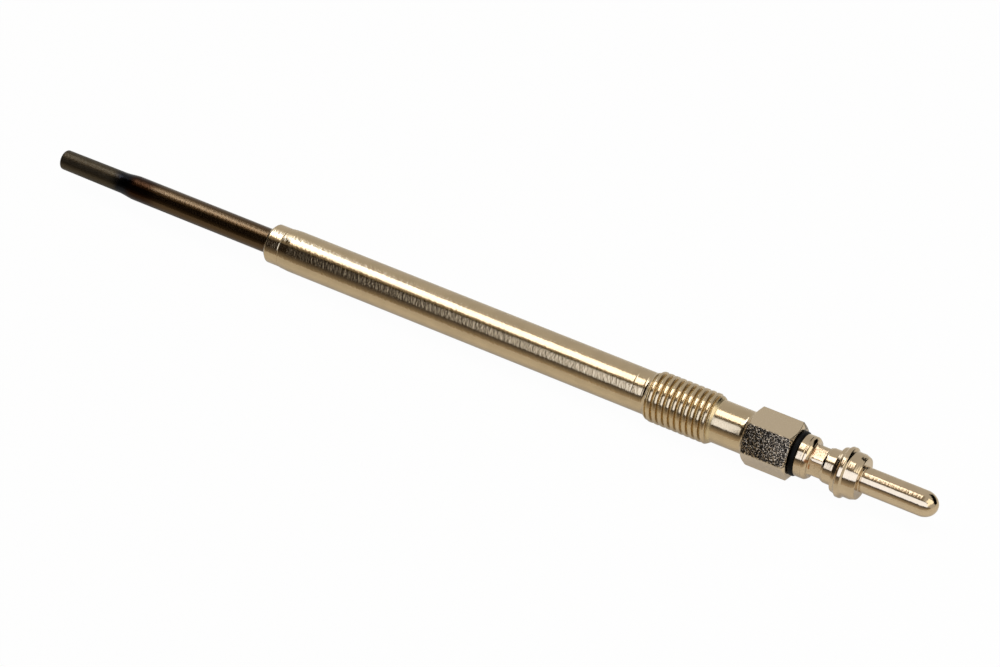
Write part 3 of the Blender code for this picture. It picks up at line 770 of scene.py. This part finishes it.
def card(name, centre, facing, width, height, material):
    """A flat rectangle, width along X, that faces a direction."""
    facing = Vector(facing).normalized()
    along = (Vector((1, 0, 0)) - facing * facing.x).normalized()
    across = facing.cross(along)
    along, across, centre = along * (width / 2), across * (height / 2), Vector(centre)
    corners = [centre + along * a + across * b for a, b in ((-1, -1), (1, -1), (1, 1), (-1, 1))]
    return sheet(name, corners, material)


def upright(name, left, right, y, bottom, top, material):
    """An upright sheet that faces the plug's side."""
    return sheet(name, [(left, y, bottom), (right, y, bottom), (right, y, top), (left, y, top)], material)


def band_card(name, low, high, distance, x, width, material):
    """A card between two angles from straight up towards the camera's side, square to the plug's axis."""
    middle, half = math.radians(low + high) / 2, math.radians(high - low) / 2
    facing = (0, math.sin(middle), -math.cos(middle))
    height = 2 * distance * math.tan(half)
    return card(name, studio_direction(middle, distance, x), facing, width, height, material)


def glossy_only(obj):
    """Shows a studio card in reflections and nowhere else."""
    obj.visible_camera = False
    obj.visible_diffuse = False
    obj.visible_transmission = False
    obj.visible_shadow = False


def lamp(name, place, size, radiance):
    """A warm rectangular lamp that shines straight down. No reflection shows it."""
    data = bpy.data.lights.new(name, "AREA")
    data.shape = "RECTANGLE"
    data.size, data.size_y = size
    data.energy = radiance * math.pi * size[0] * size[1]
    data.color = (1.0, 0.97, 0.9)
    obj = bpy.data.objects.new(name, data)
    obj.location = place
    obj.visible_glossy = False
    bpy.context.scene.collection.objects.link(obj)


def studio_direction(turn, distance, x=0.0):
    """A point at a distance from the plug's axis, turned from straight up towards the camera's side."""
    return Vector((x, -distance * math.sin(turn), AXIS_HEIGHT + distance * math.cos(turn)))


def floor_material():
    """Pale paper that keeps the plug's shadow. Camera rays see it nearly white. Glossy rays see some of that
    white, most of it close to the plug: painted light where the paper would otherwise lie in the plug's own
    shadow."""
    made = new_material("floor")
    s = Shader(made.node_tree, None)
    lit = s.node("ShaderNodeBsdfDiffuse", None, {"Color": (0.56, 0.55, 0.52, 1.0)})
    path = s.node("ShaderNodeLightPath")
    white = s.node("ShaderNodeEmission", None, {"Strength": settings().stage.background})
    # Painted light: glossy rays see more white on the paper close beside the plug, where its shadow lies.
    beside_plug = s.step(abs(stage_axis(s, "Y")), 0.012, 0.003)
    near = beside_plug * s.step(stage_axis(s, "X"), -0.055, -0.035)
    camera_share, mirrored_share, painted_light_share = 0.978, 0.2, 0.2
    mirrored = path.at("Is Glossy Ray") + path.at("Is Transmission Ray")
    share = camera_share * path.at("Is Camera Ray") + (mirrored_share + painted_light_share * near) * mirrored
    s.show(s.node("ShaderNodeMixShader", None, {0: share, 1: lit, 2: white}))
    return made


def world():
    """Plain light from all round. Camera rays see the white background, and glossy rays see some of it."""
    made = bpy.data.worlds.new("studio")
    made.use_nodes = True
    bpy.context.scene.world = made
    s = Shader(made.node_tree, None, "ShaderNodeOutputWorld")
    level = settings().stage.plain_level
    path = s.node("ShaderNodeLightPath")
    mirrored_share = 0.438
    mirrored = path.at("Is Glossy Ray") + path.at("Is Transmission Ray")
    seen = path.at("Is Camera Ray") + mirrored_share * mirrored
    strength = level + (settings().stage.background - level) * seen
    s.show(s.node("ShaderNodeBackground", None, {"Color": (1.0, 1.0, 1.0, 1.0), "Strength": strength}))


def glowing(name, colour):
    """A finish for studio cards: plain emission of a colour, or of what a function makes of the shader."""
    made = new_material(name)
    s = Shader(made.node_tree, None)
    glow = colour(s) if callable(colour) else (*colour, 1.0)
    s.show(s.node("ShaderNodeEmission", None, {"Color": glow, "Strength": 1.0}))
    return made


def stage_axis(shader, axis):
    """One coordinate of a studio card, in metres."""
    here = shader.node("ShaderNodeTexCoord").at("Object")
    return shader.node("ShaderNodeSeparateXYZ", None, {0: here}).at(axis)


def face_glow(shader):
    """The softbox overhead: brighter and cooler over the glow tube, whose dark oxide needs it, and dimmer at
    its end. The bright band bends away from the plug at its sides, as the mirror image of a ring round the
    tube does."""
    across = stage_axis(shader, "Y")
    along = stage_axis(shader, "X") + 0.15 * across * across
    over_tube = shader.band(along, -0.567, -0.491, 0.01)
    over_tip = shader.step(along, -0.57, -0.59)
    over_body, bright, dimmer = (3.4, 3.3, 3.4), (6.5, 8.0, 11.0), (2.0, 2.1, 2.2)
    return shader.blend(over_tip, shader.blend(over_tube, over_body, bright), dimmer)


def panel_glow(shader):
    """The softbox beside the camera: brighter and cooler towards the terminal's end, faded at its edges."""
    here = shader.node("ShaderNodeTexCoord").at("Object")
    axis = (0.0, 0.0, AXIS_HEIGHT)
    raised = shader.node("ShaderNodeVectorMath", {"operation": "SUBTRACT"}, {0: here, 1: axis})
    turn = math.radians(PANEL_TURN)
    downward = (0.0, -math.cos(turn), -math.sin(turn))
    product = shader.node("ShaderNodeVectorMath", {"operation": "DOT_PRODUCT"}, {0: raised, 1: downward})
    across = product.at("Value")
    dark_edge, lit_edge = 0.275, 0.2
    dark_end, lit_end = -0.3, -0.13
    between_edges = shader.step(abs(across), dark_edge, lit_edge)
    lit = between_edges * shader.step(stage_axis(shader, "X"), dark_end, lit_end)
    level = settings().stage.panel_radiance
    warm, cool = [tuple(level * share for share in tint) for tint in ((0.92, 0.9, 0.85), (0.9, 1.03, 1.36))]
    return shader.blend(lit, (0.022, 0.016, 0.01), shader.blend(lit, warm, cool))


def horizon_glow(shader):
    """Dark at the top of the low card and brighter towards its foot and the terminal, as the floor there."""
    up, along = stage_axis(shader, "Z"), stage_axis(shader, "X")
    rise = 0.4 + 0.36 * shader.step(along, -0.05, -0.035) + 0.48 * shader.step(along, -0.03, 0.05)
    lit = (1 - up * (1 / HORIZON_HEIGHT)) ** 1.3 * rise
    return shader.blend(lit, (0.05, 0.041, 0.031), (0.53, 0.455, 0.36))


class GLOWPLUG_OT_housing(bpy.types.Operator):
    """Makes the housing with its thread and hexagon"""
    bl_idname = "glowplug.housing"
    bl_label = "Housing"

    def execute(self, context):
        dress(housing_piece(), "housing", plated_housing())
        return {"FINISHED"}


class GLOWPLUG_OT_tube(bpy.types.Operator):
    """Makes the glow tube with its swaged tip"""
    bl_idname = "glowplug.tube"
    bl_label = "Glow tube"

    def execute(self, context):
        dress(tube_piece(), "glow_tube", oxidised_sheath())
        return {"FINISHED"}


class GLOWPLUG_OT_washer(bpy.types.Operator):
    """Makes the insulating washer"""
    bl_idname = "glowplug.washer"
    bl_label = "Insulating washer"

    def execute(self, context):
        dress(washer_piece(), "insulating_washer", black_moulding())
        return {"FINISHED"}


class GLOWPLUG_OT_terminal(bpy.types.Operator):
    """Makes the terminal with its crimp, barrel and pin"""
    bl_idname = "glowplug.terminal"
    bl_label = "Terminal"

    def execute(self, context):
        dress(terminal_piece(), "terminal", plated_terminal())
        return {"FINISHED"}


class GLOWPLUG_OT_inner(bpy.types.Operator):
    """Gives the pieces inside the housing their finishes"""
    bl_idname = "glowplug.inner"
    bl_label = "Inner pieces"

    def execute(self, context):
        rubber = grained("seal_rubber", (0.05, 0.03, 0.025), (0.03, 0.02, 0.017),
                         metallic=0.0, roughness=0.6, scale=0.9, depth=0.02 * MM)
        powder = grained("packed_powder", (0.78, 0.76, 0.70), (0.62, 0.6, 0.54),
                         metallic=0.0, roughness=0.9, scale=1.2, depth=0.03 * MM)
        steel = grained("bare_steel", (0.5, 0.49, 0.47), (0.4, 0.39, 0.37),
                        metallic=1.0, roughness=0.35, scale=0.8, depth=0.01 * MM)
        wire = grained("resistance_wire", (0.35, 0.33, 0.31), (0.25, 0.23, 0.22),
                       metallic=1.0, roughness=0.45, scale=1.5, depth=0.01 * MM)
        finishes = {"seal_ring": rubber, "tube_seal": rubber, "filling_powder": powder,
                    "connecting_rod": steel, "heating_coil": wire, "regulating_coil": wire}
        for node, material in finishes.items():
            mesh = frame["nodes"][node].data
            mesh.materials.clear()
            mesh.materials.append(material)
        return {"FINISHED"}


class GLOWPLUG_OT_stage(bpy.types.Operator):
    """Makes the floor, the studio lights and the camera"""
    bl_idname = "glowplug.stage"
    bl_label = "Stage"

    def execute(self, context):
        stage = settings().stage
        scene = context.scene
        scene.view_settings.view_transform = "Standard"
        world()
        paper = floor_material()
        card("floor", centre=(0.0, 0.0, 0.0), facing=(0, 0, 1), width=6.0, height=6.0, material=paper)

        lamp("overhead_lamp", place=(-0.13, 0.03, 0.9), size=(1.04, 0.635), radiance=stage.key_radiance)
        lamp("terminal_fill", place=(0.12, 0.0, 0.15), size=(0.08, 0.08), radiance=stage.fill_radiance)

        # The softbox's two long edges in plan, (x, y): the far one, and the one on the camera's side.
        far_edge = [(-0.7, 0.85), (-0.6, 0.54), (-0.55, 0.35), (-0.51, 0.21), (-0.47, 0.2), (-0.243, 0.125),
                    (-0.2, 0.17), (-0.164, 0.125), (-0.12, 0.09)]
        near_edge = [(-0.12, 0.03), (-0.164, -0.03), (-0.2, -0.2), (-0.243, -0.385), (-0.46, -0.3),
                     (-0.49, -0.25), (-0.526, -0.11), (-0.56, -0.03), (-0.6, 0.134), (-0.7, 0.3)]
        softbox_height, panel_half, foot, flag_top = 0.9, 26.5, -14 * MM, 17 * MM
        flag_left, flag_right = HOUSING_HIGH.x - 12.4 * MM, HOUSING_HIGH.x - 3.7 * MM
        softbox_outline = [(x, y, softbox_height) for x, y in far_edge + near_edge]
        end_outline = [(0.5, y, z) for y, z in ((-0.6, 0.25), (0.2, 0.25), (0.2, 1.0), (-0.6, 1.0))]
        black = glowing("black_card", (0.0, 0.0, 0.0))
        cards = (
            sheet("softbox_face", softbox_outline, glowing("softbox_face", face_glow)),
            band_card("softbox_rim", low=-8, high=40, distance=1.15, x=-0.5, width=1.1,
                      material=glowing("dim_card", (0.29, 0.25, 0.19))),
            band_card("side_panel", low=PANEL_TURN - panel_half, high=PANEL_TURN + panel_half, distance=0.62,
                      x=-0.025, width=1.25, material=glowing("side_panel", panel_glow)),
            upright("low_card", left=-0.13, right=0.1, y=foot, bottom=0.0, top=HORIZON_HEIGHT,
                    material=glowing("low_card", horizon_glow)),
            upright("hexagon_flag", left=flag_left, right=flag_right, y=foot, bottom=HORIZON_HEIGHT,
                    top=flag_top, material=glowing("flag", (0.03, 0.027, 0.025))),
            sheet("end_light", end_outline, glowing("end_light", (1.9, 1.9, 1.8))),
            card("end_card", centre=(-1.0, -0.35, 0.5), facing=(0.9, 0.25, -0.4), width=0.9, height=1.3,
                 material=black),
            card("rear_card", centre=(0.55, 0.6, 0.3), facing=(-0.62, -0.68, -0.3), width=1.0, height=0.6,
                 material=black),
        )
        for made in cards:
            glossy_only(made)

        camera = bpy.data.cameras.new("camera")
        camera.lens = stage.focal_length
        camera.sensor_fit = "HORIZONTAL"
        camera.sensor_width = 36.0
        camera.clip_start = 0.01
        back = Vector((
            math.sin(stage.camera_azimuth) * math.cos(stage.camera_elevation),
            -math.cos(stage.camera_azimuth) * math.cos(stage.camera_elevation),
            math.sin(stage.camera_elevation)))
        aim = Vector((TUBE_FRONT + stage.aim_station, 0.0, AXIS_HEIGHT))
        eye = bpy.data.objects.new("camera", camera)
        facing = back.to_track_quat("Z", "Y").to_matrix().to_4x4()
        roll = Matrix.Rotation(stage.camera_roll, 4, "Z")
        eye.matrix_world = Matrix.Translation(aim + back * stage.camera_distance) @ facing @ roll
        scene.collection.objects.link(eye)
        scene.camera = eye
        return {"FINISHED"}


class GLOWPLUG_PT_panel(bpy.types.Panel):
    """Buttons for the pieces and the stage"""
    bl_label = "Glow plug"
    bl_idname = "GLOWPLUG_PT_panel"
    bl_space_type = "VIEW_3D"
    bl_region_type = "UI"
    bl_category = "Glow plug"

    def draw(self, context):
        for operator in OPERATORS:
            self.layout.operator(operator.bl_idname)


OPERATORS = (
    GLOWPLUG_OT_housing, GLOWPLUG_OT_tube, GLOWPLUG_OT_washer, GLOWPLUG_OT_terminal, GLOWPLUG_OT_inner,
    GLOWPLUG_OT_stage)
GROUPS = (HousingSizes, TubeSizes, WasherSizes, TerminalSizes, Finishes, StageSettings, GlowPlugSettings)


def register():
    for made in (*GROUPS, *OPERATORS, GLOWPLUG_PT_panel):
        bpy.utils.register_class(made)
    bpy.types.Scene.glow_plug = PointerProperty(type=GlowPlugSettings)


def unregister():
    del bpy.types.Scene.glow_plug
    for made in (GLOWPLUG_PT_panel, *reversed(OPERATORS), *reversed(GROUPS)):
        bpy.utils.unregister_class(made)


def main():
    register()
    bpy.ops.glowplug.housing()
    bpy.ops.glowplug.tube()
    bpy.ops.glowplug.washer()
    bpy.ops.glowplug.terminal()
    bpy.ops.glowplug.inner()
    bpy.ops.glowplug.stage()


if __name__ == "__main__":
    main()
